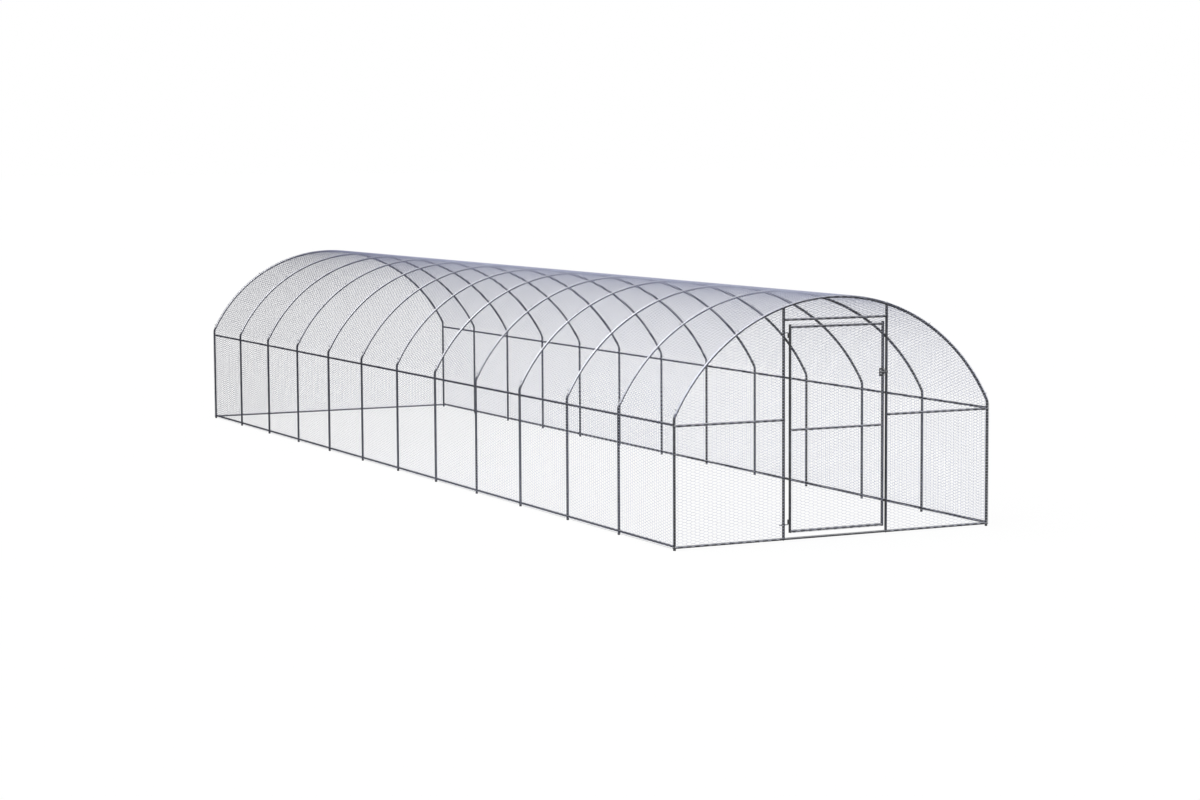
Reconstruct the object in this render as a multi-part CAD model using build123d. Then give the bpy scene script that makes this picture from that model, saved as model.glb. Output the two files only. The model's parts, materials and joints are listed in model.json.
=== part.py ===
from build123d import *
import math
import os

# A walk-in poultry run: a tunnel of round-tube hoops under hexagonal wire netting, with a hinged door.
# Millimetres, +Z up, origin on the ground under the middle of the tunnel, door end towards -Y.

# Driving dimensions
OVERALL_WIDTH = 3000.0
OVERALL_HEIGHT = 2000.0
BAY = 1000.0
BAYS = 12
TUBE_D = 22.0
TUBE_WALL = 1.0
RAIL_D = 20.0
RAIL_WALL = 0.9
KINK_Z = 1065.0
BEND_R = 70.0
FIT = 0.3
SEAT = 0.1

# Joints along an arch, in degrees from its top
POST_NECK_ANGLE = 62.4
POST_BOLT_ANGLE = 61.5
HAUNCH_END_ANGLE = 34.0
CROWN_BOLT_ANGLE = 32.8
SWAGE_ANGLE = 2.2
SHOULDER_ANGLE = 0.06
JOINT_GAP_ANGLE = 0.02

# Rails: those along the walls lie a little higher than those across the ends, so their bolts pass
GROUND_Z = 29.0
WAIST_Z = 1004.0
BOLT_STEP = 4.0
PLUG = 10.0

# Bolts and nuts
BOLT_D = 6.0
BOLT_HOLE = 6.5
TAPPED_HOLE = 6.1
HEX = 10.0
HEAD_H = 4.0
NUT_H = 5.0
ARCH_BOLT_OUT = 18.0
SCREW_D = 5.0
SCREW_HOLE = 5.2
SCREW_HEAD_D = 9.0
SCREW_HEAD_H = 2.5
SCREW_LENGTH = 14.0

# Front end and door
DOOR_POST_X = 489.0
HEADER_Z = 1814.0
TOP_PLUG = 50.0
HINGE_STILE_X = -428.0
LATCH_STILE_X = 452.0
STILE_FOOT_Z = 73.0
STILE_TOP_Z = 1775.0
DOOR_RAIL_Z = {"bottom": 85.0, "middle": 915.5, "top": 1753.0}

# Hinges
PIN_D = 8.0
PIN_FIT = 0.08
SLEEVE_D = 12.5
SLEEVE_H = 33.0
LOWER_SHANK_Z = 141.0
UPPER_SHANK_Z = 1708.0
SHANK_END_X = -526.0
PIN_BEND = 7.0
PIN_TIP = 2.0
PIN_NUT_HEX = 13.0
PIN_NUT_H = 6.5

# Latch
LATCH_Z = 1354.0
LATCH_PLATE_X = (412.0, 462.0)
LATCH_PLATE_H = 69.0
LATCH_SCREW_Z = 26.5
LATCH_SLOT_X = (422.0, 442.0)
LATCH_SLOT_H = 9.0
LATCH_SLOT_Z = 14.0
LATCH_SLOT_CORNER = 3.0
KEEPER_X = (466.0, 496.0)
KEEPER_H = 38.0
KEEPER_SCREW_Z = 13.0
PLATE_T = 2.5
PLATE_CORNER = 5.0
LATCH_ROD_D = 10.0
LATCH_ROD_X = (404.0, 463.0)
LATCH_ROD_LIFT = 1.5
LATCH_ROD_CHAMFER = 1.5
GUIDE_W = 7.0
GUIDE_T = 2.0
GUIDE_XS = (434.0, 454.5)
KEEPER_LOOP_X = 467.0
KEEPER_LOOP_FIT = 1.8
HANDLE_D = 7.0
HANDLE_X = 410.5
HANDLE_OUT = 24.0

# Netting: flat nets are drawn coarser than their real mesh, and the roof's is a plain thin sheet
MESH_COLUMN = 39.0
MESH_ROW = 25.0
TWIST_SHARE = 2 / 3
NET_COARSER = 14
NET_T = 1.0
NET_BAR = 10.0
NET_LAP = 6.0
HINGE_LAP = 2.0
NET_FOOT_Z = 17.0
LEAST_GAP_AREA = 2500.0
ROOF_STRIPS = 6
ROOF_SHEET_T = 0.1
BOLT_CLEARANCE = 7.0

# Worked out from the above
TUBE_R = TUBE_D / 2
POST_X = (OVERALL_WIDTH - TUBE_D) / 2
HALF_LENGTH = BAY * BAYS / 2
HOOP_Y = [BAY * i - HALF_LENGTH for i in range(BAYS + 1)]
RISE = OVERALL_HEIGHT - TUBE_R - KINK_Z
ARCH_R = (POST_X**2 + RISE**2) / (2 * RISE)
ARCH_Z = OVERALL_HEIGHT - TUBE_R - ARCH_R
BEND_Z = ARCH_Z + math.sqrt((ARCH_R - BEND_R) ** 2 - (POST_X - BEND_R) ** 2)
BEND_END_ANGLE = math.degrees(math.atan2(POST_X - BEND_R, BEND_Z - ARCH_Z))
BEND_AXIS = Axis((POST_X - BEND_R, 0, BEND_Z), (0, -1, 0))
SWAGE_D = TUBE_D - 2 * TUBE_WALL - 2 * FIT
FRONT_Y = -HALF_LENGTH
SIDE_GROUND_Z = GROUND_Z + BOLT_STEP
SIDE_WAIST_Z = WAIST_Z + BOLT_STEP
END_GROUND_Z = GROUND_Z - BOLT_STEP
END_WAIST_Z = WAIST_Z - BOLT_STEP
PIN_X = HINGE_STILE_X - TUBE_R - SLEEVE_D / 2 - SEAT
DOOR_POST_ANGLE = math.degrees(math.asin(DOOR_POST_X / ARCH_R))
NET_OFF = TUBE_R + FIT
OVER_NET = NET_OFF + NET_T + FIT
NET_LENGTH = 2 * (HALF_LENGTH + TUBE_R)
NET_FOLD_ANGLE = math.degrees(math.asin((POST_X + NET_OFF) / (ARCH_R + NET_OFF)))
ROOF_STRIP_ANGLE = 2 * NET_FOLD_ANGLE / ROOF_STRIPS
NET_ROW = NET_COARSER * MESH_ROW
NET_COLUMN = NET_COARSER * MESH_COLUMN
PLATE_BACK_Y = FRONT_Y - OVER_NET
PLATE_FRONT_Y = PLATE_BACK_Y - PLATE_T
ROD_Y = PLATE_FRONT_Y - LATCH_ROD_LIFT - LATCH_ROD_D / 2


# Placing

def arch_height(x):
    """Height of the arch's centre line at x."""
    return ARCH_Z + math.sqrt(ARCH_R**2 - x**2)


def radial(angle, radius, y=0.0):
    """A plane at a place on a circle about the arch's centre, facing outwards, with x along the tunnel."""
    out = (math.sin(math.radians(angle)), 0, math.cos(math.radians(angle)))
    return Plane((radius * out[0], y, ARCH_Z + radius * out[2]), (0, 1, 0), out)


def along_x(shape):
    return Rot(0, 90, 0) * shape


def along_y(shape):
    return Rot(90, 0, 0) * shape


# Tubes and fasteners

def tube(length, diameter, wall):
    return Cylinder(diameter / 2, length) - Cylinder(diameter / 2 - wall, length)


def plugged_tube(length, diameter, wall, plug=PLUG):
    """A tube about Z with a tapped plug in each end."""
    bore = Cylinder(diameter / 2 - wall, length - 2 * plug)
    return Cylinder(diameter / 2, length) - bore - Cylinder(TAPPED_HOLE / 2, length)


def ring(diameter, wall):
    return Circle(diameter / 2) - Circle(diameter / 2 - wall)


def along_arch(section, start, end):
    """A section carried along the arch from one angle to another."""
    placed = Plane((0, 0, ARCH_R), z_dir=(1, 0, 0)) * section
    return Pos(0, 0, ARCH_Z) * Rot(0, start, 0) * revolve(placed, Axis.Y, end - start)


def arch_tube(start, end):
    return along_arch(ring(TUBE_D, TUBE_WALL), start, end)


def swaged_end(angle):
    """The narrowed end of a tube, from its shoulder at an angle on the arch, that slips into the next."""
    shoulder = ring(TUBE_D, (TUBE_D - SWAGE_D) / 2 + TUBE_WALL)
    neck = along_arch(ring(SWAGE_D, TUBE_WALL), angle - SWAGE_ANGLE, angle)
    return neck + along_arch(shoulder, angle, angle + SHOULDER_ANGLE)


def radial_hole(angle):
    return radial(angle, ARCH_R) * Cylinder(BOLT_HOLE / 2, 2 * TUBE_D)


def hexagon(across, height):
    return extrude(RegularPolygon(across / 2, 6, major_radius=False), height)


def bolt(length):
    """A hex bolt with its head on the plane's outer side."""
    return hexagon(HEX, HEAD_H) + Pos(0, 0, -length / 2) * Cylinder(BOLT_D / 2, length)


def nut(across, height, bore):
    return hexagon(across, height) - Pos(0, 0, height / 2) * Cylinder(bore / 2, 2 * height)


def screw():
    shank = Pos(0, 0, -SCREW_LENGTH / 2) * Cylinder(SCREW_D / 2, SCREW_LENGTH)
    return Pos(0, 0, SCREW_HEAD_H / 2) * Cylinder(SCREW_HEAD_D / 2, SCREW_HEAD_H) + shank


# Hoops

def wall_post():
    """The right-hand post: an upright leg, a bend and a swaged neck that follows the arch."""
    section = ring(TUBE_D, TUBE_WALL)
    leg = extrude(Pos(POST_X, 0, 0) * section, BEND_Z)
    bend = revolve(Pos(POST_X, 0, BEND_Z) * section, BEND_AXIS, 90 - BEND_END_ANGLE)
    neck = arch_tube(POST_NECK_ANGLE, BEND_END_ANGLE)
    post = leg + bend + neck + swaged_end(POST_NECK_ANGLE) - radial_hole(POST_BOLT_ANGLE)
    for z in (SIDE_GROUND_Z, SIDE_WAIST_Z):
        post -= Pos(POST_X, 0, z) * along_y(Cylinder(BOLT_HOLE / 2, 2 * TUBE_D))
    return post


def drilled_across(post, heights):
    for z in heights:
        post -= Pos(POST_X, 0, z) * along_x(Cylinder(BOLT_HOLE / 2, 2 * TUBE_D))
    return post


def right_posts():
    plain = wall_post()
    front = drilled_across(plain, (END_GROUND_Z, END_WAIST_Z))
    rear = drilled_across(plain, (END_GROUND_Z,))
    shapes = [front] + [plain] * (BAYS - 1) + [rear]
    return [Pos(0, y, 0) * shape for y, shape in zip(HOOP_Y, shapes)]


def haunch():
    start = HAUNCH_END_ANGLE
    whole = arch_tube(start, POST_NECK_ANGLE - JOINT_GAP_ANGLE) + swaged_end(start)
    return whole - radial_hole(POST_BOLT_ANGLE) - radial_hole(CROWN_BOLT_ANGLE)


def crown():
    end = HAUNCH_END_ANGLE - JOINT_GAP_ANGLE
    whole = arch_tube(-end, end)
    return whole - radial_hole(CROWN_BOLT_ANGLE) - radial_hole(-CROWN_BOLT_ANGLE)


def arch_bolt_angles():
    return [side * angle for side in (-1, 1) for angle in (POST_BOLT_ANGLE, CROWN_BOLT_ANGLE)]


def arch_bolts():
    """Bolts that pass outwards through each arch joint, heads inside the tunnel."""
    length = TUBE_D + ARCH_BOLT_OUT
    one = Rot(180, 0, 0) * bolt(length)
    return [radial(a, ARCH_R - TUBE_R - SEAT, y) * one for y in HOOP_Y for a in arch_bolt_angles()]


def arch_nuts():
    one = nut(HEX, NUT_H, TAPPED_HOLE)
    return [radial(a, ARCH_R + OVER_NET, y) * one for y in HOOP_Y for a in arch_bolt_angles()]


# Rails

def wall_rails(x, z):
    """The lengths of rail between the posts of one wall."""
    one = along_y(plugged_tube(BAY - TUBE_D - 2 * FIT, RAIL_D, RAIL_WALL))
    return [Pos(x, y + BAY / 2, z) * one for y in HOOP_Y[:-1]]


def rail_studs():
    one = along_y(Cylinder(BOLT_D / 2, TUBE_D + 2 * PLUG))
    rows = [(x, z) for x in (-POST_X, POST_X) for z in (SIDE_GROUND_Z, SIDE_WAIST_Z)]
    return [Pos(x, y, z) * one for x, z in rows for y in HOOP_Y[1:-1]]


def cross_rail(x_from, x_to, y, z):
    """A rail between two posts of an end."""
    length = x_to - x_from - TUBE_D - 2 * FIT
    return Pos((x_from + x_to) / 2, y, z) * along_x(plugged_tube(length, RAIL_D, RAIL_WALL))


def front_ground_rail():
    rail = cross_rail(-POST_X, POST_X, FRONT_Y, END_GROUND_Z)
    for x in (-DOOR_POST_X, DOOR_POST_X):
        rail -= Pos(x, FRONT_Y, END_GROUND_Z) * Cylinder(BOLT_HOLE / 2, 2 * RAIL_D)
    return rail


def frame_bolts():
    """Bolts at the ends of the rails, the header and the door posts; those outside hold the netting too."""
    short = bolt(TUBE_D + PLUG)
    places = []
    for side in (-1, 1):
        for y, facing in ((FRONT_Y, -1), (-FRONT_Y, 1)):
            for z in (SIDE_GROUND_Z, SIDE_WAIST_Z):
                places.append(Plane((side * POST_X, y + facing * OVER_NET, z), z_dir=(0, facing, 0)))
            outer_x = side * (POST_X + OVER_NET)
            places.append(Plane((outer_x, y, END_GROUND_Z), z_dir=(side, 0, 0)))
        places.append(Plane((side * (POST_X + OVER_NET), FRONT_Y, END_WAIST_Z), z_dir=(side, 0, 0)))
        inner_x = side * (DOOR_POST_X - TUBE_R)
        places.append(Plane((inner_x, FRONT_Y, END_WAIST_Z), z_dir=(-side, 0, 0)))
        header_x = side * (DOOR_POST_X + TUBE_R)
        places.append(Plane((header_x, FRONT_Y, HEADER_Z), z_dir=(side, 0, 0)))
        under = (side * DOOR_POST_X, FRONT_Y, END_GROUND_Z - RAIL_D / 2)
        places.append(Plane(under, z_dir=(0, 0, -1)))
        places.append(radial(side * DOOR_POST_ANGLE, ARCH_R + OVER_NET, FRONT_Y))
    return [place * short for place in places]


# Front frame

def door_post(side):
    """A post that stands on the ground rail and is shaped to the underside of the front arch."""
    foot = END_GROUND_Z + RAIL_D / 2 + FIT
    top = arch_height(DOOR_POST_X)
    x = side * DOOR_POST_X
    outer = Cylinder(TUBE_R, top - foot)
    bore = Cylinder(TUBE_R - TUBE_WALL, top - foot - PLUG - TOP_PLUG)
    shift = (PLUG - TOP_PLUG) / 2
    post = outer - Pos(0, 0, shift) * bore
    post = Pos(x, FRONT_Y, (foot + top) / 2) * post
    post -= Pos(0, FRONT_Y, 0) * along_arch(Circle(TUBE_R + FIT), -BEND_END_ANGLE, BEND_END_ANGLE)
    post -= Pos(x, FRONT_Y, foot) * Cylinder(TAPPED_HOLE / 2, 3 * PLUG)
    post -= radial(side * DOOR_POST_ANGLE, ARCH_R - TUBE_R, FRONT_Y) * Cylinder(TAPPED_HOLE / 2, 3 * PLUG)
    for z in (HEADER_Z, END_WAIST_Z):
        post -= Pos(x, FRONT_Y, z) * along_x(Cylinder(BOLT_HOLE / 2, 2 * TUBE_D))
    return post


def left_door_post():
    post = door_post(-1)
    for z in (LOWER_SHANK_Z, UPPER_SHANK_Z):
        post -= Pos(-DOOR_POST_X, FRONT_Y, z) * along_x(Cylinder(PIN_D / 2 + FIT, 2 * TUBE_D))
    return post


def door_post_bolt_holes():
    one = Cylinder(BOLT_HOLE / 2, 2 * TUBE_D)
    return [radial(side * DOOR_POST_ANGLE, ARCH_R, FRONT_Y) * one for side in (-1, 1)]


# Door leaf

def stile(x):
    height = STILE_TOP_Z - STILE_FOOT_Z
    return Pos(x, FRONT_Y, STILE_FOOT_Z + height / 2) * tube(height, TUBE_D, TUBE_WALL)


def screw_drilled(post, x, spread):
    for z in (LATCH_Z - spread, LATCH_Z + spread):
        post -= Pos(x, FRONT_Y - TUBE_R, z) * along_y(Cylinder(SCREW_HOLE / 2, TUBE_D))
    return post


def door_rail(z):
    """A rail whose ends are shaped to the stiles."""
    span = LATCH_STILE_X - HINGE_STILE_X
    middle = (LATCH_STILE_X + HINGE_STILE_X) / 2
    rail = Pos(middle, FRONT_Y, z) * along_x(tube(span, RAIL_D, RAIL_WALL))
    for x in (HINGE_STILE_X, LATCH_STILE_X):
        rail -= Pos(x, FRONT_Y, z) * Cylinder(TUBE_R + SEAT, 2 * RAIL_D)
    return rail


# Hinges

def sleeve(shank_z, up):
    """A short tube on the hinge stile that turns on the pin."""
    z = shank_z + up * (PIN_BEND + FIT + SLEEVE_H / 2)
    return Pos(PIN_X, FRONT_Y, z) * tube(SLEEVE_H, SLEEVE_D, (SLEEVE_D - PIN_D) / 2 - PIN_FIT)


def pintle(shank_z, up):
    """A bent rod: its shank goes through the door post and its pin into the sleeve."""
    tip_z = shank_z + up * (PIN_BEND + FIT + SLEEVE_H + PIN_TIP)
    corners = [(SHANK_END_X, FRONT_Y, shank_z), (PIN_X, FRONT_Y, shank_z), (PIN_X, FRONT_Y, tip_z)]
    path = FilletPolyline(*corners, radius=PIN_BEND)
    return sweep(Plane(corners[0], z_dir=(1, 0, 0)) * Circle(PIN_D / 2), path)


def pintle_nuts():
    one = nut(PIN_NUT_HEX, PIN_NUT_H, PIN_D + 2 * PIN_FIT)
    nuts = []
    for z in (LOWER_SHANK_Z, UPPER_SHANK_Z):
        for side in (-1, 1):
            face_x = -DOOR_POST_X + side * (TUBE_R + SEAT)
            nuts.append(Plane((face_x, FRONT_Y, z), z_dir=(side, 0, 0)) * one)
    return nuts


# Latch

def bolt_plate(x_from, x_to, height, screw_x, spread):
    """A screw plate on the front of a tube, seen from the front, with two screw holes."""
    face = Plane(((x_from + x_to) / 2, PLATE_BACK_Y, LATCH_Z), (1, 0, 0), (0, -1, 0))
    outline = RectangleRounded(x_to - x_from, height, PLATE_CORNER)
    plate = extrude(face * outline, PLATE_T)
    for z in (LATCH_Z - spread, LATCH_Z + spread):
        plate -= Pos(screw_x, PLATE_BACK_Y, z) * along_y(Cylinder(SCREW_HOLE / 2, 4 * PLATE_T))
    return plate


def guide(x, clearance):
    """A bridge over the latch bolt, from x on."""
    inner = LATCH_ROD_D / 2 + clearance
    outer = inner + GUIDE_T
    stand = PLATE_FRONT_Y - ROD_Y
    section = Plane((x, ROD_Y, LATCH_Z), (0, 1, 0), (1, 0, 0))
    legs = Pos(stand / 2, 0) * Rectangle(stand, 2 * outer)
    slot = Pos(stand / 2, 0) * Rectangle(stand, 2 * inner)
    return extrude(section * (legs + Circle(outer) - slot - Circle(inner)), GUIDE_W)


def latch_plate():
    """The door's plate, with two slots for a padlock and two bridges for the bolt."""
    plate = bolt_plate(*LATCH_PLATE_X, LATCH_PLATE_H, LATCH_STILE_X, LATCH_SCREW_Z)
    slot = Rectangle(LATCH_SLOT_X[1] - LATCH_SLOT_X[0], LATCH_SLOT_H)
    slot = fillet(slot.vertices(), LATCH_SLOT_CORNER)
    for side in (-1, 1):
        middle = (sum(LATCH_SLOT_X) / 2, PLATE_BACK_Y, LATCH_Z + side * LATCH_SLOT_Z)
        plate -= extrude(Plane(middle, (1, 0, 0), (0, -1, 0)) * slot, PLATE_T)
    for x in GUIDE_XS:
        plate += guide(x, FIT)
    return plate


def keeper():
    plate = bolt_plate(*KEEPER_X, KEEPER_H, DOOR_POST_X, KEEPER_SCREW_Z)
    return plate + guide(KEEPER_LOOP_X, KEEPER_LOOP_FIT)


def latch_bolt():
    """The sliding rod with its handle, drawn back."""
    length = LATCH_ROD_X[1] - LATCH_ROD_X[0]
    rod = Pos(sum(LATCH_ROD_X) / 2, ROD_Y, LATCH_Z) * along_x(Cylinder(LATCH_ROD_D / 2, length))
    rod = chamfer(rod.edges().filter_by(GeomType.CIRCLE), LATCH_ROD_CHAMFER)
    stem = Pos(HANDLE_X, ROD_Y - HANDLE_OUT / 2, LATCH_Z) * along_y(Cylinder(HANDLE_D / 2, HANDLE_OUT))
    knob = Pos(HANDLE_X, ROD_Y - HANDLE_OUT, LATCH_Z) * Sphere(HANDLE_D / 2)
    return rod + stem + knob


def screws(x, spread):
    heights = (LATCH_Z - spread, LATCH_Z + spread)
    return [Plane((x, PLATE_FRONT_Y, z), z_dir=(0, -1, 0)) * screw() for z in heights]


# Netting

def mesh_gap():
    """One six-sided gap of the mesh, with its twisted sides along x."""
    half_row, column = NET_ROW / 2, NET_COLUMN
    slant = (1 - TWIST_SHARE) * column
    side = math.hypot(half_row, slant)
    tip = (column + slant) / 2 - NET_BAR / 2 * side / half_row
    edge = half_row - NET_BAR / 2
    shoulder = tip - edge * slant / half_row
    upper = [(-tip, 0), (-shoulder, edge), (shoulder, edge), (tip, 0)]
    return make_face(Polyline(*upper, (shoulder, -edge), (-shoulder, -edge), close=True))


def net_cuts(region, holes):
    """The gaps of a net about the origin, trimmed to a region without small scraps, and its bolt holes."""
    size = region.bounding_box()
    columns = math.ceil(max(-size.min.X, size.max.X) / NET_COLUMN)
    rows = math.ceil(max(-size.min.Y, size.max.Y) / NET_ROW)
    gap = mesh_gap()
    cuts = [Pos(x, z) * Circle(BOLT_CLEARANCE / 2) for x, z in holes]
    for i in range(-columns, columns + 1):
        lift = NET_ROW / 2 * (i % 2)
        for j in range(-rows - 1, rows + 1):
            trimmed = region & (Pos(i * NET_COLUMN, j * NET_ROW + lift) * gap)
            if trimmed is not None:
                cuts += [face for face in trimmed.faces() if face.area > LEAST_GAP_AREA]
    return (Sketch() + cuts).faces()


def flat_net(outline, plane, holes=()):
    """A flat net inside an outline, with a plain edge and holes for bolts."""
    region = offset(outline, -NET_BAR, kind=Kind.INTERSECTION)
    cuts = [face.outer_wire() for face in net_cuts(region, holes)]
    return extrude(plane * Face(outline.face().outer_wire(), cuts), NET_T)


def rectangle(x_from, x_to, z_from, z_to):
    return Pos((x_from + x_to) / 2, (z_from + z_to) / 2) * Rectangle(x_to - x_from, z_to - z_from)


def under_arch(outline):
    """What lies under the front or rear arch."""
    return outline & Pos(0, ARCH_Z) * Circle(ARCH_R + NET_LAP)


def wall_net():
    """The right-hand wall's net, up to the fold where the roof's net begins."""
    plane = Plane((POST_X + NET_OFF, 0, 0), (0, 1, 0), (1, 0, 0))
    fold_z = radial(NET_FOLD_ANGLE, ARCH_R + NET_OFF).origin.Z
    outline = rectangle(-NET_LENGTH / 2, NET_LENGTH / 2, NET_FOOT_Z, fold_z - FIT)
    holes = [(FRONT_Y, END_GROUND_Z), (FRONT_Y, END_WAIST_Z), (-FRONT_Y, END_GROUND_Z)]
    return flat_net(outline, plane, holes)


def roof_nets():
    """The roof's strips from left to right, as thin sheets with holes for the bolts that hold them."""
    inner = ARCH_R + NET_OFF
    turn = ROOF_STRIP_ANGLE - math.degrees(2 * FIT / inner)
    ridge = Plane((0, 0, inner + ROOF_SHEET_T / 2), (0, 1, 0), (1, 0, 0))
    edge = ridge * Rectangle(NET_LENGTH, ROOF_SHEET_T)
    strip = Rot(0, -turn / 2, 0) * revolve(edge, Axis.Y, turn)
    bolts = [(angle, y) for angle in arch_bolt_angles() for y in HOOP_Y]
    bolts += [(side * DOOR_POST_ANGLE, FRONT_Y) for side in (-1, 1)]
    nets = []
    for i in range(ROOF_STRIPS):
        middle = (i - (ROOF_STRIPS - 1) / 2) * ROOF_STRIP_ANGLE
        here = [(angle, y) for angle, y in bolts if abs(angle - middle) < ROOF_STRIP_ANGLE / 2]
        holes = [radial(angle, inner, y) * Cylinder(BOLT_CLEARANCE / 2, NET_OFF) for angle, y in here]
        nets.append(Pos(0, 0, ARCH_Z) * Rot(0, middle, 0) * strip - holes)
    return nets


def end_nets():
    """The nets of the front, beside and over the door, and of the rear."""
    front = Plane((0, FRONT_Y - NET_OFF, 0), (1, 0, 0), (0, -1, 0))
    rear = Plane((0, -FRONT_Y + NET_OFF + NET_T, 0), (1, 0, 0), (0, -1, 0))
    outer, inner = POST_X + NET_LAP, DOOR_POST_X - NET_LAP
    corner_bolts = [(POST_X, SIDE_GROUND_Z), (POST_X, SIDE_WAIST_Z)]
    keeper_screws = [(DOOR_POST_X, LATCH_Z + side * KEEPER_SCREW_Z) for side in (-1, 1)]
    mirrored = [(-x, z) for x, z in corner_bolts]
    left = under_arch(rectangle(-outer, -inner, NET_FOOT_Z, OVERALL_HEIGHT))
    right = under_arch(rectangle(inner, outer, NET_FOOT_Z, OVERALL_HEIGHT))
    over = under_arch(rectangle(FIT - inner, inner - FIT, HEADER_Z - NET_LAP, OVERALL_HEIGHT))
    whole = under_arch(rectangle(-outer, outer, NET_FOOT_Z, OVERALL_HEIGHT))
    return {
        "front_netting_left": flat_net(left, front, mirrored),
        "front_netting_right": flat_net(right, front, corner_bolts + keeper_screws),
        "front_netting_over_door": flat_net(over, front),
        "rear_netting": flat_net(whole, rear, corner_bolts + mirrored),
    }


def door_net():
    """The door's net, which stops short on the hinge side to clear the pins when the door is open."""
    plane = Plane((0, FRONT_Y - NET_OFF, 0), (1, 0, 0), (0, -1, 0))
    outline = rectangle(HINGE_STILE_X - HINGE_LAP, LATCH_STILE_X + NET_LAP, STILE_FOOT_Z, STILE_TOP_Z)
    return flat_net(outline, plane, [(LATCH_STILE_X, LATCH_Z + side * LATCH_SCREW_Z) for side in (-1, 1)])


# The nodes

nodes = {}
haunch_right = haunch()
arch = [mirror(haunch_right, Plane.YZ), crown(), haunch_right]
for number, hoop_y in enumerate(HOOP_Y, start=1):
    nodes[f"arch_{number:02d}"] = [Pos(0, hoop_y, 0) * piece for piece in arch]
nodes["arch_01"][1] -= door_post_bolt_holes()
nodes["arch_bolts"] = arch_bolts()
nodes["arch_nuts"] = arch_nuts()

nodes["right_posts"] = right_posts()
nodes["left_posts"] = [mirror(post, Plane.YZ) for post in nodes["right_posts"]]
for side_name, side_x in (("left", -POST_X), ("right", POST_X)):
    nodes[f"{side_name}_ground_rails"] = wall_rails(side_x, SIDE_GROUND_Z)
    nodes[f"{side_name}_waist_rails"] = wall_rails(side_x, SIDE_WAIST_Z)
nodes["rail_studs"] = rail_studs()
nodes["frame_bolts"] = frame_bolts()

nodes["front_ground_rail"] = [front_ground_rail()]
nodes["rear_ground_rail"] = [cross_rail(-POST_X, POST_X, -FRONT_Y, END_GROUND_Z)]
nodes["front_waist_rail_left"] = [cross_rail(-POST_X, -DOOR_POST_X, FRONT_Y, END_WAIST_Z)]
nodes["front_waist_rail_right"] = [cross_rail(DOOR_POST_X, POST_X, FRONT_Y, END_WAIST_Z)]
nodes["door_header"] = [cross_rail(-DOOR_POST_X, DOOR_POST_X, FRONT_Y, HEADER_Z)]
nodes["left_door_post"] = [left_door_post()]
nodes["right_door_post"] = [screw_drilled(door_post(1), DOOR_POST_X, KEEPER_SCREW_Z)]

nodes["hinge_stile"] = [stile(HINGE_STILE_X)]
nodes["latch_stile"] = [screw_drilled(stile(LATCH_STILE_X), LATCH_STILE_X, LATCH_SCREW_Z)]
for rail_name, rail_z in DOOR_RAIL_Z.items():
    nodes[f"door_{rail_name}_rail"] = [door_rail(rail_z)]
nodes["lower_hinge_sleeve"] = [sleeve(LOWER_SHANK_Z, 1)]
nodes["upper_hinge_sleeve"] = [sleeve(UPPER_SHANK_Z, -1)]
nodes["lower_pintle"] = [pintle(LOWER_SHANK_Z, 1)]
nodes["upper_pintle"] = [pintle(UPPER_SHANK_Z, -1)]
nodes["pintle_nuts"] = pintle_nuts()

nodes["latch_plate"] = [latch_plate()]
nodes["latch_screws"] = screws(LATCH_STILE_X, LATCH_SCREW_Z)
nodes["latch_bolt"] = [latch_bolt()]
nodes["keeper"] = [keeper()]
nodes["keeper_screws"] = screws(DOOR_POST_X, KEEPER_SCREW_Z)

nodes["right_wall_netting"] = [wall_net()]
nodes["left_wall_netting"] = [mirror(nodes["right_wall_netting"][0], Plane.YZ)]
for number, net in enumerate(roof_nets(), start=1):
    nodes[f"roof_netting_{number}"] = [net]
for net_name, net in end_nets().items():
    nodes[net_name] = [net]
nodes["door_netting"] = [door_net()]

os.makedirs("parts", exist_ok=True)
for node_name, shapes in nodes.items():
    solids = [solid for shape in shapes for solid in shape.solids()]
    export_step(Compound(solids), f"parts/{node_name}.step")
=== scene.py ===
"""A walk-in poultry run of galvanised tube under hexagonal wire netting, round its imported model."""

import json
import math

import bmesh
import bpy
import numpy as np
from bpy.props import FloatProperty, FloatVectorProperty, PointerProperty
from mathutils import Matrix, Vector


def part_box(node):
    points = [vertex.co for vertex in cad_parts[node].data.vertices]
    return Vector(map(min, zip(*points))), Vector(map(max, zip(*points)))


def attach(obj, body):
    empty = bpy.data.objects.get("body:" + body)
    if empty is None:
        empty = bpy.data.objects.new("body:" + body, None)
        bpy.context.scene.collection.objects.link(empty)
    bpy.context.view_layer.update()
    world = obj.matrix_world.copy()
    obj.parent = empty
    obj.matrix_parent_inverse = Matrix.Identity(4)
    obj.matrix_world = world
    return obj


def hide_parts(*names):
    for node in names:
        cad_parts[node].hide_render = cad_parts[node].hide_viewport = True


bl_info = {
    "name": "Walk-in poultry run",
    "version": (1, 0, 0),
    "blender": (4, 5, 0),
    "location": "View3D > Sidebar > Poultry run",
    "description": "Wire netting, ties, welds and finishes for a tunnel-shaped poultry run",
    "category": "Object",
}

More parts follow.
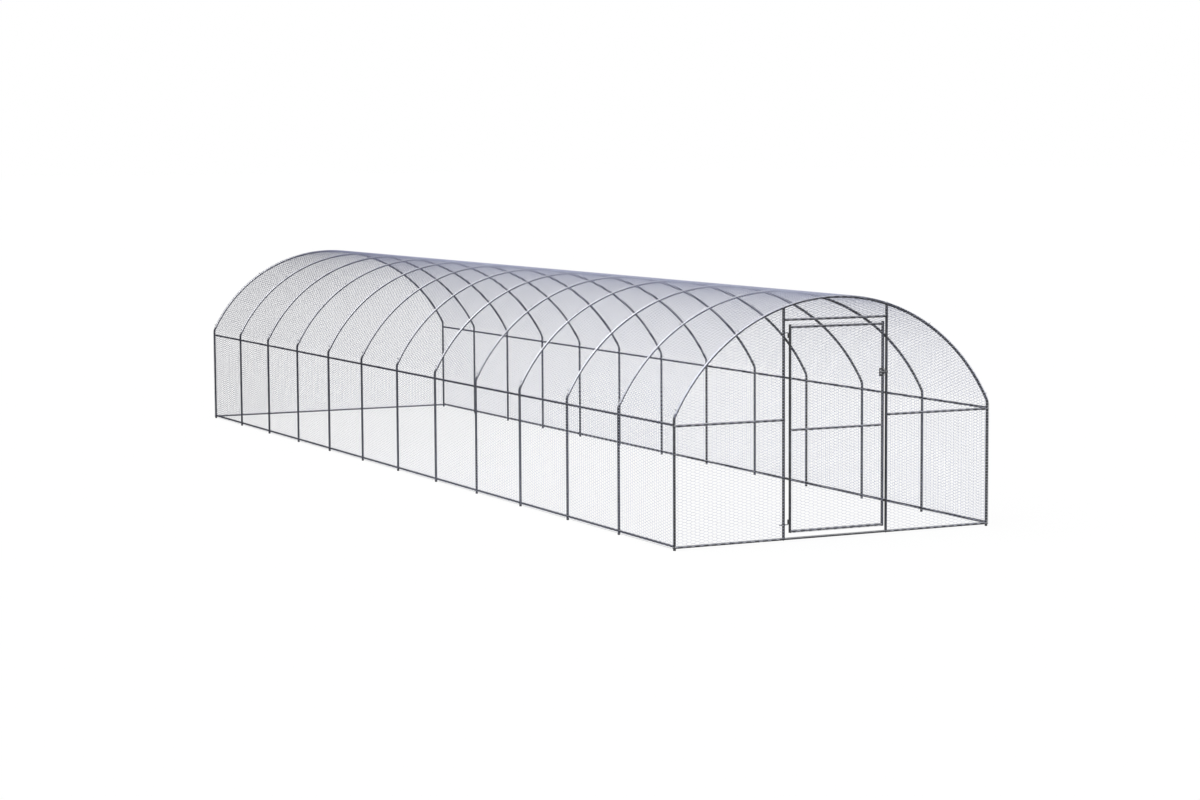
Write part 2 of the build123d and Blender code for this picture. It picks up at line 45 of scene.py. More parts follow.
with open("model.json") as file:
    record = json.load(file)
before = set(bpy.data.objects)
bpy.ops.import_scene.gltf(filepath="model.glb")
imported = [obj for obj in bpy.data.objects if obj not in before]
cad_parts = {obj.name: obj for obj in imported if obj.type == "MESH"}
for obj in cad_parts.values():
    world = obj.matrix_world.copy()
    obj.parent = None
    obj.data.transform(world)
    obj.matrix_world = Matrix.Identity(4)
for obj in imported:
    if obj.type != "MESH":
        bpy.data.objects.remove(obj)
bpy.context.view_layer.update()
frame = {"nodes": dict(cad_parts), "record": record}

# Places of the frame, in metres
TUBE_R = 0.011
RAIL_R = 0.010
POST_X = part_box("right_ground_rails")[0].x + RAIL_R
FRONT_Y = -6.0
REAR_Y = 6.0
HOOPS = 13
BAY = (REAR_Y - FRONT_Y) / (HOOPS - 1)
HOOP_YS = [FRONT_Y + i * BAY for i in range(HOOPS)]
KINK_Z = 1.065
BEND_R = 0.070
RIDGE_TOP_Z = 2.0
RIDGE_Z = RIDGE_TOP_Z - TUBE_R
RISE = RIDGE_Z - KINK_Z
ARCH_R = (POST_X**2 + RISE**2) / (2 * RISE)
ARCH_Z = RIDGE_Z - ARCH_R
BEND_X = POST_X - BEND_R
BEND_Z = ARCH_Z + math.sqrt((ARCH_R - BEND_R) ** 2 - BEND_X**2)
BEND_ANGLE = math.atan2(BEND_X, BEND_Z - ARCH_Z)
DOOR_POST_X = 0.489
HEADER_Z = 1.814
SIDE_RAIL_ZS = (0.033, 1.008)
END_GROUND_Z = 0.025
END_WAIST_Z = 1.000
HINGE_STILE_X = -0.428
LATCH_STILE_X = 0.452
STILE_FOOT_Z = 0.073
STILE_TOP_Z = 1.775
DOOR_RAIL_ZS = (0.085, 0.9155, 1.753)

# Netting: where it ends and how it lies on the tubes
NET_FOOT_Z = 0.017
NET_LAP = 0.006
HINGE_LAP = 0.002
NET_END = 6.011
NET_GAP = 0.0010
NET_OFF = TUBE_R + NET_GAP
ROOF_STRIPS = 6
WALL_LENGTHS = 2
SPARE_CELLS = 1
ARC_TRIM = math.radians(5)
PAIR_TURN = math.radians(70)
BAKE_MAP = "OFBake"
TINY = 1e-9

# Sides of the wires; a three-sided one is widened until it looks as thick as a round one
WIRE_SIDES = 3
WIRE_WIDENING = 2 * math.pi / (WIRE_SIDES * math.sqrt(3))
CUT_END_SIDES = 4
EDGE_SIDES = 5

# Second material slot of a piece: the twisted sides of a net, and the straight lines of its edges
TWIST_SLOT = 1
LINE_SLOT = 1

# Where the netting is duller: towards the rear of the left side, and up to the ridge
DARKER_TOWARDS = (-1.2, 0.15, 0.6)
DARKER_START = 1.6
DARKER_FULL = 2.6
DARKER_LEAST = 0.16
RIDGE_FROM_Z = 1.2
RIDGE_TO_Z = RIDGE_TOP_Z
RIDGE_DULL = 0.40

# Painted light: the side of a tube that is painted lighter as if lit, where its edge starts and ends,
# and how far under it goes
TUBE_PAINTED_LIGHT_TOWARDS = (0.0, -0.8, 0.6)
TUBE_PAINTED_LIGHT_EDGE = (0.35, 0.60)
ARCH_HIGHLIGHT_TOWARDS = (-0.90, 0.0, 0.44)
ARCH_HIGHLIGHT_EDGE = (0.05, 0.40)
PAINTED_LIGHT_UNDER = 0.15
PAINTED_LIGHT_PATCHES = 40.0
PAINTED_LIGHT_UNEVEN = 0.15

# Zinc surfaces: share of metal, smoothest and roughest spots, patches and crystals to a metre, relief
TUBE_SURFACE = dict(
    metallic=1.0, smoothest=0.40, roughest=0.55, patch_scale=7.0, spangle_scale=140.0, bump=0.25)
WIRE_SURFACE = dict(
    metallic=1.0, smoothest=0.45, roughest=0.6, patch_scale=3.0, spangle_scale=60.0, bump=0.0)
BOLT_SURFACE = dict(
    metallic=0.9, smoothest=0.22, roughest=0.4, patch_scale=60.0, spangle_scale=500.0, bump=0.2)
WELD_SURFACE = dict(
    metallic=0.9, smoothest=0.35, roughest=0.6, patch_scale=90.0, spangle_scale=420.0, bump=0.6)
CLOUD_EDGE = (0.32, 0.68)
CLOUD_ROUGHNESS = 0.6
SPANGLE_SHARE = 0.35
GRAIN_SCALE = 900.0
RELIEF_DEPTH = 0.0004
SPECULAR_TINT = (0.3, 0.3, 0.3, 1.0)

# Floor and camera, and the share of plain white that the camera sees in the floor and the world
FLOOR_REACH = 400
FLOOR_COLOUR = (0.97, 0.97, 0.97, 1.0)
FLOOR_ROUGHNESS = 0.9
FLOOR_WHITE = 0.93
WORLD_WHITE = 1.0
WHITE = (1.0, 1.0, 1.0, 1.0)
SENSOR_WIDTH = 36
VIEW_REACH = 1000

# Wire ties, edge wires and welds
TIE_WIRE = 0.0013
TIE_GAP = 0.0018
TIE_SHIFT = 0.0014
TIE_STEPS = 10
TIE_TAIL = (-0.004, 0.008, 0.006)
TIE_TAIL_WIRES = 2
ARCH_TIES = [math.radians(angle) for angle in range(-54, 55, 9)]
POST_TIE_ZS = (0.25, 0.50, 0.75)
BAY_TIES = (0.25, 0.50, 0.75)
END_RAIL_TIE_XS = (0.72, 0.98, 1.24)
HEADER_TIE_XS = (-0.30, 0.0, 0.30)
DOOR_POST_TIE_ZS = (0.30, 0.55, 0.80, 1.20, 1.50)
STILE_TIE_ZS = (0.30, 0.55, 0.75, 1.10, 1.55)
DOOR_RAIL_TIE_XS = (-0.22, 0.012, 0.24)
EDGE_WIRE = 0.0020
EDGE_STEPS = 40
WELD_BEAD = 0.0034
WELD_STEPS = 32
WELD_SIDES = 6
SLEEVE_WELD_SIDES = 8
SLEEVE_WELD_RINGS = 5
SLEEVE_WELD_IN = 0.004
SLEEVE_WELD_Y = 0.0032


class RunNetting(bpy.types.PropertyGroup):
    """Sizes of the wire netting."""

    row: FloatProperty(
        name="Mesh height", description="Distance between rows of gaps", default=0.025, unit="LENGTH")
    column: FloatProperty(
        name="Mesh width", description="Distance between columns of gaps", default=0.039, unit="LENGTH")
    twist: FloatProperty(
        name="Twist length", description="Length of a twisted side", default=0.026, unit="LENGTH")
    roof_wire: FloatProperty(
        name="Roof wire", description="Wire of the roof", default=0.0019, precision=4,
        unit="LENGTH")
    side_wire: FloatProperty(
        name="Side wire", description="Wire of the sides and ends", default=0.0016, precision=4,
        unit="LENGTH")
    pair: FloatProperty(
        name="Twisted pair", description="Width of a pair, in wires", default=1.8)


class RunFinish(bpy.types.PropertyGroup):
    """Colours of the metal."""

    tube_dark: FloatVectorProperty(
        name="Tube, dull", description="Dull zinc", subtype="COLOR",
        default=(0.050, 0.0505, 0.055))
    tube_light: FloatVectorProperty(
        name="Tube, bright", description="Bright zinc", subtype="COLOR",
        default=(0.098, 0.099, 0.106))
    # Painted light: the colour painted onto the upper front of the tubes, as if lit
    tube_painted_light: FloatVectorProperty(
        name="Tube, top", description="Painted light on the upper front", subtype="COLOR",
        default=(0.40, 0.403, 0.425))
    # Painted highlight: the colour painted onto the upper left side of the arches, as if lit
    arch_painted_highlight: FloatVectorProperty(
        name="Arch, top", description="Painted highlight on an arch", subtype="COLOR",
        default=(0.66, 0.665, 0.70))
    wire_dark: FloatVectorProperty(
        name="Wire, dark", description="Dark patch on a wire", subtype="COLOR",
        default=(0.37, 0.40, 0.56))
    wire_light: FloatVectorProperty(
        name="Wire, light", description="Light patch on a wire", subtype="COLOR",
        default=(0.57, 0.60, 0.78))
    # Colour of the wire towards the rear of the left side and up to the ridge
    wire_dull: FloatVectorProperty(
        name="Wire, dull", description="Wire towards the rear left and the ridge", subtype="COLOR",
        default=(0.045, 0.048, 0.098))
    twist_dark: FloatVectorProperty(
        name="Twist, dark", description="Dark patch on a pair", subtype="COLOR",
        default=(0.66, 0.68, 0.78))
    twist_light: FloatVectorProperty(
        name="Twist, light", description="Light patch on a pair", subtype="COLOR",
        default=(0.86, 0.88, 0.95))
    # Colour of the pairs towards the rear of the left side and up to the ridge
    twist_dull: FloatVectorProperty(
        name="Twist, dull", description="Pair towards the rear left and the ridge", subtype="COLOR",
        default=(0.155, 0.162, 0.23))
    weld_dark: FloatVectorProperty(
        name="Weld, dull", description="Heat-dulled weld", subtype="COLOR",
        default=(0.10, 0.095, 0.09))
    weld_light: FloatVectorProperty(
        name="Weld, bright", description="Sprayed weld", subtype="COLOR",
        default=(0.24, 0.24, 0.245))
    bolt_dark: FloatVectorProperty(
        name="Bolt, dull", description="Dull bolt", subtype="COLOR",
        default=(0.32, 0.32, 0.33))
    bolt_light: FloatVectorProperty(
        name="Bolt, bright", description="Bright bolt", subtype="COLOR",
        default=(0.62, 0.62, 0.64))


class RunStage(bpy.types.PropertyGroup):
    """Camera and light."""

    lens: FloatProperty(name="Lens", description="Focal length in millimetres", default=78.003)
    azimuth: FloatProperty(
        name="Azimuth", description="Turn from +Y to +X", subtype="ANGLE",
        default=math.radians(25.8873))
    pitch: FloatProperty(
        name="Pitch", description="Tilt below the horizon", subtype="ANGLE",
        default=math.radians(5.3981))
    roll: FloatProperty(
        name="Roll", description="Turn about the view", subtype="ANGLE",
        default=math.radians(-0.3262))
    place: FloatVectorProperty(
        name="Place", description="Where the camera stands", subtype="XYZ",
        default=(-10.9898, -24.2307, 3.1549))
    ambient: FloatProperty(name="Ambient", description="Light from all round", default=0.28)
    lamp: FloatProperty(name="Lamp", description="Strength of the soft lamp", default=2.8)
    lamp_from: FloatVectorProperty(
        name="Lamp from", description="Where the lamp shines from", subtype="XYZ",
        default=(-0.42, -0.05, 0.90))
    spread: FloatProperty(
        name="Spread", description="Angle that the lamp fills", subtype="ANGLE",
        default=math.radians(66))


# Materials

# Sockets of a Mix node: its share, its two numbers or two colours, and what comes out
MIX_SHARE = 0
MIX_NUMBERS = (2, 3)
MIX_COLOURS = (6, 7)
NUMBER_OUT = 0
COLOUR_OUT = 2


def add_node(tree, kind, **values):
    """A node with its sockets or settings given by name."""
    node = tree.nodes.new(kind)
    for name, value in values.items():
        if name in node.inputs:
            node.inputs[name].default_value = value
        else:
            setattr(node, name, value)
    return node


def new_group(name, inputs, outputs):
    """A shader group with named sockets and their kinds, and the nodes at its two ends."""
    group = bpy.data.node_groups.new(name, "ShaderNodeTree")
    for in_out, sockets in (("INPUT", inputs), ("OUTPUT", outputs)):
        for socket, kind in sockets.items():
            group.interface.new_socket(socket, in_out=in_out, socket_type=f"NodeSocket{kind}")
    return group, add_node(group, "NodeGroupInput"), add_node(group, "NodeGroupOutput")


def zinc_group():
    """Cloudy zinc: patches, fine crystal spangle and grain, as a mask, a roughness and a height."""
    made = bpy.data.node_groups.get("ZincBloom")
    if made:
        return made
    group, given, result = new_group(
        "ZincBloom",
        {"Patch Scale": "Float", "Spangle Scale": "Float", "Smoothest": "Float", "Roughest": "Float"},
        {"Brightness": "Float", "Roughness": "Float", "Height": "Float"})
    place = add_node(group, "ShaderNodeTexCoord")
    patch = add_node(group, "ShaderNodeTexNoise", Detail=4.0, Roughness=CLOUD_ROUGHNESS)
    spangle = add_node(group, "ShaderNodeTexVoronoi")
    grain = add_node(group, "ShaderNodeTexNoise", Scale=GRAIN_SCALE, Detail=2.0)
    link = group.links.new
    for texture in (patch, spangle, grain):
        link(place.outputs["Object"], texture.inputs["Vector"])
    link(given.outputs["Patch Scale"], patch.inputs["Scale"])
    link(given.outputs["Spangle Scale"], spangle.inputs["Scale"])
    cell = add_node(group, "ShaderNodeSeparateColor")
    link(spangle.outputs["Color"], cell.inputs["Color"])
    clouds = add_node(
        group, "ShaderNodeMapRange", **{"From Min": CLOUD_EDGE[0], "From Max": CLOUD_EDGE[1]})
    link(patch.outputs["Fac"], clouds.inputs["Value"])
    bright = add_node(group, "ShaderNodeMix", data_type="FLOAT")
    bright.inputs[MIX_SHARE].default_value = SPANGLE_SHARE
    link(clouds.outputs["Result"], bright.inputs[MIX_NUMBERS[0]])
    link(cell.outputs["Red"], bright.inputs[MIX_NUMBERS[1]])
    link(bright.outputs[NUMBER_OUT], result.inputs["Brightness"])
    rough = add_node(group, "ShaderNodeMapRange")
    link(bright.outputs[NUMBER_OUT], rough.inputs["Value"])
    link(given.outputs["Roughest"], rough.inputs["To Min"])
    link(given.outputs["Smoothest"], rough.inputs["To Max"])
    link(rough.outputs["Result"], result.inputs["Roughness"])
    link(grain.outputs["Fac"], result.inputs["Height"])
    return group


def painted_light_group():
    """The side of a piece that gets painted light, as a mask with a broken edge."""
    made = bpy.data.node_groups.get("PaintedLightSide")
    if made:
        return made
    group, given, result = new_group(
        "PaintedLightSide", {"Towards": "Vector", "Start": "Float", "Full": "Float"}, {"Mask": "Float"})
    place = add_node(group, "ShaderNodeTexCoord")
    facing = add_node(group, "ShaderNodeVectorMath", operation="DOT_PRODUCT")
    split = add_node(group, "ShaderNodeSeparateXYZ")
    above = add_node(group, "ShaderNodeMath", operation="ADD")
    above.inputs[1].default_value = PAINTED_LIGHT_UNDER
    both = add_node(group, "ShaderNodeMath", operation="MINIMUM")
    breakup = add_node(group, "ShaderNodeTexNoise", Scale=PAINTED_LIGHT_PATCHES, Detail=3.0)
    uneven = add_node(
        group, "ShaderNodeMapRange", **{"To Min": -PAINTED_LIGHT_UNEVEN, "To Max": PAINTED_LIGHT_UNEVEN})
    reach = add_node(group, "ShaderNodeMath", operation="ADD")
    mask = add_node(group, "ShaderNodeMapRange", interpolation_type="SMOOTHSTEP")
    link = group.links.new
    link(place.outputs["Normal"], facing.inputs[0])
    link(given.outputs["Towards"], facing.inputs[1])
    link(place.outputs["Normal"], split.inputs["Vector"])
    link(split.outputs["Z"], above.inputs[0])
    link(facing.outputs["Value"], both.inputs[0])
    link(above.outputs["Value"], both.inputs[1])
    link(place.outputs["Object"], breakup.inputs["Vector"])
    link(breakup.outputs["Fac"], uneven.inputs["Value"])
    link(both.outputs["Value"], reach.inputs[0])
    link(uneven.outputs["Result"], reach.inputs[1])
    link(reach.outputs["Value"], mask.inputs["Value"])
    link(given.outputs["Start"], mask.inputs["From Min"])
    link(given.outputs["Full"], mask.inputs["From Max"])
    link(mask.outputs["Result"], result.inputs["Mask"])
    return group


def darker_side_group():
    """Wire that is lighter low down and at the front, and darker towards the rear of the left side and
    up to the ridge.
    """
    made = bpy.data.node_groups.get("DarkerSide")
    if made:
        return made
    group, given, result = new_group(
        "DarkerSide", {"Lighter": "Color", "Dull": "Color"}, {"Color": "Color"})
    place = add_node(group, "ShaderNodeTexCoord")
    reach = add_node(group, "ShaderNodeVectorMath", operation="DOT_PRODUCT")
    reach.inputs[1].default_value = DARKER_TOWARDS
    side = add_node(
        group, "ShaderNodeMapRange",
        **{"From Min": DARKER_START, "From Max": DARKER_FULL, "To Min": DARKER_LEAST})
    height = add_node(group, "ShaderNodeSeparateXYZ")
    ridge = add_node(
        group, "ShaderNodeMapRange", interpolation_type="SMOOTHSTEP",
        **{"From Min": RIDGE_FROM_Z, "From Max": RIDGE_TO_Z, "To Max": RIDGE_DULL})
    share = add_node(group, "ShaderNodeMix", data_type="FLOAT")
    share.inputs[MIX_NUMBERS[1]].default_value = 1.0
    tone = add_node(group, "ShaderNodeMix", data_type="RGBA")
    link = group.links.new
    link(place.outputs["Object"], reach.inputs[0])
    link(place.outputs["Object"], height.inputs["Vector"])
    link(reach.outputs["Value"], side.inputs["Value"])
    link(height.outputs["Z"], ridge.inputs["Value"])
    link(ridge.outputs["Result"], share.inputs[MIX_SHARE])
    link(side.outputs["Result"], share.inputs[MIX_NUMBERS[0]])
    link(share.outputs[NUMBER_OUT], tone.inputs[MIX_SHARE])
    link(given.outputs["Lighter"], tone.inputs[MIX_COLOURS[0]])
    link(given.outputs["Dull"], tone.inputs[MIX_COLOURS[1]])
    link(tone.outputs[COLOUR_OUT], result.inputs["Color"])
    return group


def zinc_material(
        name, dark, light, metallic, smoothest, roughest, patch_scale, spangle_scale, bump,
        painted_side=None, dull=None):
    """A zinc finish between two tones.

    sky gives the colour, direction and edge of a side with painted light, and dull the colour towards
    the rear of the left side and up to the ridge.
    """
    material = bpy.data.materials.get(name)
    if material:
        return material
    material = bpy.data.materials.new(name)
    material.use_nodes = True
    tree = material.node_tree
    shader = tree.nodes["Principled BSDF"]
    shader.inputs["Metallic"].default_value = metallic
    shader.inputs["Specular Tint"].default_value = SPECULAR_TINT
    zinc = add_node(tree, "ShaderNodeGroup", node_tree=zinc_group())
    zinc.inputs["Patch Scale"].default_value = patch_scale
    zinc.inputs["Spangle Scale"].default_value = spangle_scale
    zinc.inputs["Smoothest"].default_value = smoothest
    zinc.inputs["Roughest"].default_value = roughest
    tone = add_node(tree, "ShaderNodeMix", data_type="RGBA")
    tone.inputs[MIX_COLOURS[0]].default_value = (*dark, 1.0)
    tone.inputs[MIX_COLOURS[1]].default_value = (*light, 1.0)
    link = tree.links.new
    link(zinc.outputs["Brightness"], tone.inputs[MIX_SHARE])
    colour = tone.outputs[COLOUR_OUT]
    # Painted light: the side facing the given direction is mixed towards a lighter colour, as if lit
    if painted_side:
        painted_colour, towards_light, edge = painted_side
        top = add_node(tree, "ShaderNodeGroup", node_tree=painted_light_group())
        top.inputs["Towards"].default_value = towards_light
        top.inputs["Start"].default_value = edge[0]
        top.inputs["Full"].default_value = edge[1]
        painted_mix = add_node(tree, "ShaderNodeMix", data_type="RGBA")
        painted_mix.inputs[MIX_COLOURS[1]].default_value = (*painted_colour, 1.0)
        link(top.outputs["Mask"], painted_mix.inputs[MIX_SHARE])
        link(colour, painted_mix.inputs[MIX_COLOURS[0]])
        colour = painted_mix.outputs[COLOUR_OUT]
    # Darker towards the rear of the left side and up to the ridge
    if dull:
        side = add_node(tree, "ShaderNodeGroup", node_tree=darker_side_group())
        side.inputs["Dull"].default_value = (*dull, 1.0)
        link(colour, side.inputs["Lighter"])
        colour = side.outputs["Color"]
    link(colour, shader.inputs["Base Color"])
    link(zinc.outputs["Roughness"], shader.inputs["Roughness"])
    if bump:
        relief = add_node(tree, "ShaderNodeBump", Strength=bump, Distance=RELIEF_DEPTH)
        link(zinc.outputs["Height"], relief.inputs["Height"])
        link(relief.outputs["Normal"], shader.inputs["Normal"])
    return material


def tube_finish():
    """Dull tube, with painted light on its upper front."""
    p = bpy.context.scene.run_finish
    painted_side = (p.tube_painted_light, TUBE_PAINTED_LIGHT_TOWARDS, TUBE_PAINTED_LIGHT_EDGE)
    return zinc_material("tube_zinc", p.tube_dark, p.tube_light, painted_side=painted_side, **TUBE_SURFACE)


def arch_finish():
    """The arches, with a painted highlight on their upper left side, well round the tube."""
    p = bpy.context.scene.run_finish
    painted_side = (p.arch_painted_highlight, ARCH_HIGHLIGHT_TOWARDS, ARCH_HIGHLIGHT_EDGE)
    return zinc_material("arch_zinc", p.tube_dark, p.tube_light, painted_side=painted_side, **TUBE_SURFACE)


def edge_finish():
    """Dull wire along the straight edges of the netting."""
    p = bpy.context.scene.run_finish
    return zinc_material("edge_zinc", p.tube_dark, p.tube_light, **WIRE_SURFACE)


def wire_finish():
    """Single wires of the netting, and the ties."""
    p = bpy.context.scene.run_finish
    return zinc_material("wire_zinc", p.wire_dark, p.wire_light, dull=p.wire_dull, **WIRE_SURFACE)


def twist_finish():
    """Twisted pairs of the netting, lighter than the single wires."""
    p = bpy.context.scene.run_finish
    return zinc_material("twist_zinc", p.twist_dark, p.twist_light, dull=p.twist_dull, **WIRE_SURFACE)


def bolt_finish():
    """Bright plating on the bolts, nuts and screws."""
    p = bpy.context.scene.run_finish
    return zinc_material("bolt_zinc", p.bolt_dark, p.bolt_light, **BOLT_SURFACE)


def weld_finish():
    """Weld beads under sprayed zinc."""
    p = bpy.context.scene.run_finish
    return zinc_material("weld_zinc", p.weld_dark, p.weld_light, **WELD_SURFACE)


# Making pieces

def piece(name, bm, body, material, nodes=()):
    """An object from a bmesh, riding on a body and standing for CAD nodes."""
    mesh = bpy.data.meshes.new(name)
    bm.to_mesh(mesh)
    bm.free()
    mesh.materials.append(material)
    return placed(name, mesh, body, nodes)


def placed(name, mesh, body, nodes=()):
    """An object from a mesh, riding on a body and standing for CAD nodes."""
    obj = bpy.data.objects.new(name, mesh)
    bpy.context.scene.collection.objects.link(obj)
    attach(obj, body)
    if nodes:
        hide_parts(*nodes)
    return obj


def smooth(obj):
    """Shades an object smooth."""
    obj.data.polygons.foreach_set("use_smooth", [True] * len(obj.data.polygons))
    return obj


def towards(start, end):
    """A matrix that lays a Z-axis shape along a line, about its middle."""
    way = end - start
    turn = way.to_track_quat("Z", "Y").to_matrix().to_4x4()
    return Matrix.Translation((start + end) / 2) @ turn


def straight_wire(bm, start, end, diameter, sides=WIRE_SIDES, capped=True):
    """A wire from point to point."""
    radius = diameter / 2 * (WIRE_WIDENING if sides == WIRE_SIDES else 1.0)
    length = (end - start).length
    bmesh.ops.create_cone(
        bm, cap_ends=capped, cap_tris=False, segments=sides, radius1=radius, radius2=radius,
        depth=length, matrix=towards(start, end))


# Netting

def mesh_cell(p, wire):
    """Two columns of the mesh: in each a twisted side, and the two wires that part from its end."""
    bm = bmesh.new()
    slant = p.column - p.twist
    half = Vector((p.twist / 2, 0, 0))
    middles = [Vector((column * p.column, column * p.row / 2, 0)) for column in (0, 1)]
    for middle in middles:
        straight_wire(bm, middle - half, middle + half, p.pair * wire, capped=False)
        far_end = [vert for vert in bm.verts if vert.co.x > middle.x]
        bmesh.ops.rotate(
            bm, verts=far_end, cent=middle, matrix=Matrix.Rotation(PAIR_TURN, 3, "X"))
    for face in bm.faces:
        face.material_index = TWIST_SLOT
    for middle in middles:
        for side in (-1, 1):
            far = middle + half + Vector((slant, side * p.row / 2, 0))
            straight_wire(bm, middle + half, far, wire, capped=False)
    return bm


def repeat(obj, offset, count):
    """Repeats an object along a line."""
    array = obj.modifiers.new("Array", "ARRAY")
    array.use_relative_offset = False
    array.use_constant_offset = True
    array.constant_offset_displace = offset
    array.count = count


def flat_netting(low, high, wire):
    """Netting over a rectangle of the flat sheet, on one lattice for the whole run."""
    p = bpy.context.scene.run_netting
    period = (2 * p.column, p.row)
    first = [math.floor(low[i] / period[i]) - SPARE_CELLS for i in (0, 1)]
    count = [math.ceil((high[i] - low[i]) / period[i]) + 1 + 2 * SPARE_CELLS for i in (0, 1)]
    bm = mesh_cell(p, wire)
    bmesh.ops.translate(bm, verts=bm.verts, vec=(first[0] * period[0], first[1] * period[1], 0))
    mesh = bpy.data.meshes.new("mesh_cell")
    bm.to_mesh(mesh)
    bm.free()
    mesh.materials.append(wire_finish())
    mesh.materials.append(twist_finish())
    cell = bpy.data.objects.new("mesh_cell", mesh)
    bpy.context.scene.collection.objects.link(cell)
    repeat(cell, (period[0], 0, 0), count[0])
    repeat(cell, (0, period[1], 0), count[1])
    graph = bpy.context.evaluated_depsgraph_get()
    sheet = bpy.data.meshes.new_from_object(cell.evaluated_get(graph))
    bpy.data.objects.remove(cell)
    bpy.data.meshes.remove(mesh)
    ends = [((low[0], 0), (-1, 0)), ((high[0], 0), (1, 0))]
    edges = [((0, low[1]), (0, -1)), ((0, high[1]), (0, 1))]
    trim(sheet, ends + edges)
    return sheet


def trim(sheet, planes):
    """Cuts a flat sheet to straight edges, each given by a point and the direction out of the sheet."""
    bm = bmesh.new()
    bm.from_mesh(sheet)
    for point, out in planes:
        geometry = bm.verts[:] + bm.edges[:] + bm.faces[:]
        cut = bmesh.ops.bisect_plane(
            bm, geom=geometry, plane_co=(*point, 0), plane_no=(*out, 0), clear_outer=True)
        edges = [e for e in cut["geom_cut"] if isinstance(e, bmesh.types.BMEdge)]
        bmesh.ops.holes_fill(bm, edges=edges, sides=CUT_END_SIDES)
    bm.to_mesh(sheet)
    bm.free()


def coordinates(mesh):
    """The places of a mesh's vertices, as rows."""
    values = np.empty(3 * len(mesh.vertices), np.float32)
    mesh.vertices.foreach_get("co", values)
    return values.reshape(-1, 3).astype(float)


def lay(mesh, shape):
    """Moves a flat sheet onto a surface, and keeps its flat place as a UV map."""
    flat = coordinates(mesh)
    low, high = flat.min(0), flat.max(0)
    corner = np.empty(len(mesh.loops), np.int32)
    mesh.loops.foreach_get("vertex_index", corner)
    share = ((flat - low) / (high - low + TINY))[corner, :2]
    uv = mesh.uv_layers.new(name=BAKE_MAP)
    uv.uv.foreach_set("vector", share.astype(np.float32).ravel())
    mesh.vertices.foreach_set("co", shape(flat).astype(np.float32).ravel())
    mesh.polygons.foreach_set("use_smooth", np.ones(len(mesh.polygons), bool))
    mesh.update()


def over_run(flat):
    """The flat sheet bent over the run: down one wall, over the roof and down the other."""
    along, across, out = flat.T
    side = np.sign(across)
    far = np.abs(across)
    arch_r, bend_r = ARCH_R + NET_OFF, BEND_R + NET_OFF
    arch_end = arch_r * BEND_ANGLE
    bend_end = arch_end + bend_r * (math.pi / 2 - BEND_ANGLE)
    turn = np.where(far < arch_end, far / arch_r, BEND_ANGLE + (far - arch_end) / bend_r)
    turn = np.minimum(turn, math.pi / 2)
    on_arch = far < arch_end
    radius = np.where(on_arch, arch_r, bend_r) + out
    x = np.where(on_arch, 0, BEND_X) + radius * np.sin(turn)
    z = np.where(on_arch, ARCH_Z, BEND_Z) + radius * np.cos(turn) - np.maximum(far - bend_end, 0)
    return np.stack([side * x, -along, z], 1)


def over_front(flat):
    """The flat sheet stood up outside the front end."""
    x, z, out = flat.T
    return np.stack([x, FRONT_Y - NET_OFF - out, z], 1)


def over_rear(flat):
    """The flat sheet stood up outside the rear end."""
    x, z, out = flat.T
    return np.stack([-x, REAR_Y + NET_OFF + out, z], 1)


def fold():
    """Distance from the ridge over the roof's net to the middle of the post's bend."""
    return (ARCH_R + NET_OFF) * BEND_ANGLE + (BEND_R + NET_OFF) * (math.pi / 2 - BEND_ANGLE) / 2


def foot():
    """Distance from the ridge over the roof's net to the foot of a wall's net."""
    bend = (BEND_R + NET_OFF) * (math.pi / 2 - BEND_ANGLE)
    return (ARCH_R + NET_OFF) * BEND_ANGLE + bend + BEND_Z - NET_FOOT_Z


def under_arch_planes(x_from, x_to):
    """Edges that follow the arch between two places across the run."""
    radius = ARCH_R + NET_LAP
    start, end = math.asin(x_from / radius), math.asin(x_to / radius)
    count = max(2, math.ceil((end - start) / ARC_TRIM))
    planes = []
    for i in range(count + 1):
        angle = start + (end - start) * i / count
        out = (math.sin(angle), math.cos(angle))
        planes.append(((radius * out[0], ARCH_Z + radius * out[1]), out))
    return planes


def netting_piece(name, low, high, wire, shape, body, nodes, planes=()):
    """A net that is cut flat, laid onto its surface and placed on its body."""
    sheet = flat_netting(low, high, wire)
    if planes:
        trim(sheet, planes)
    lay(sheet, shape)
    sheet.name = name
    return placed(name, sheet, body, nodes)


class RUN_OT_roof_netting(bpy.types.Operator):
    """Lay the netting over the arches"""

    bl_idname = "run.roof_netting"
    bl_label = "Roof netting"

    def execute(self, context):
        wire = context.scene.run_netting.roof_wire
        width = 2 * fold() / ROOF_STRIPS
        for i in range(ROOF_STRIPS):
            start = i * width - fold()
            netting_piece(
                f"roof_wire_netting_{i + 1}", (-NET_END, start), (NET_END, start + width), wire,
                over_run, "frame", [f"roof_netting_{i + 1}"])
        return {"FINISHED"}


class RUN_OT_wall_netting(bpy.types.Operator):
    """Hang the netting on the long walls"""

    bl_idname = "run.wall_netting"
    bl_label = "Wall netting"

    def execute(self, context):
        wire = context.scene.run_netting.side_wire
        step = 2 * NET_END / WALL_LENGTHS
        for name, start, end in (("left", -foot(), -fold()), ("right", fold(), foot())):
            for i in range(WALL_LENGTHS):
                along = i * step - NET_END
                netting_piece(
                    f"{name}_wall_wire_netting_{i + 1}", (along, start), (along + step, end), wire,
                    over_run, "frame", [f"{name}_wall_netting"])
        return {"FINISHED"}


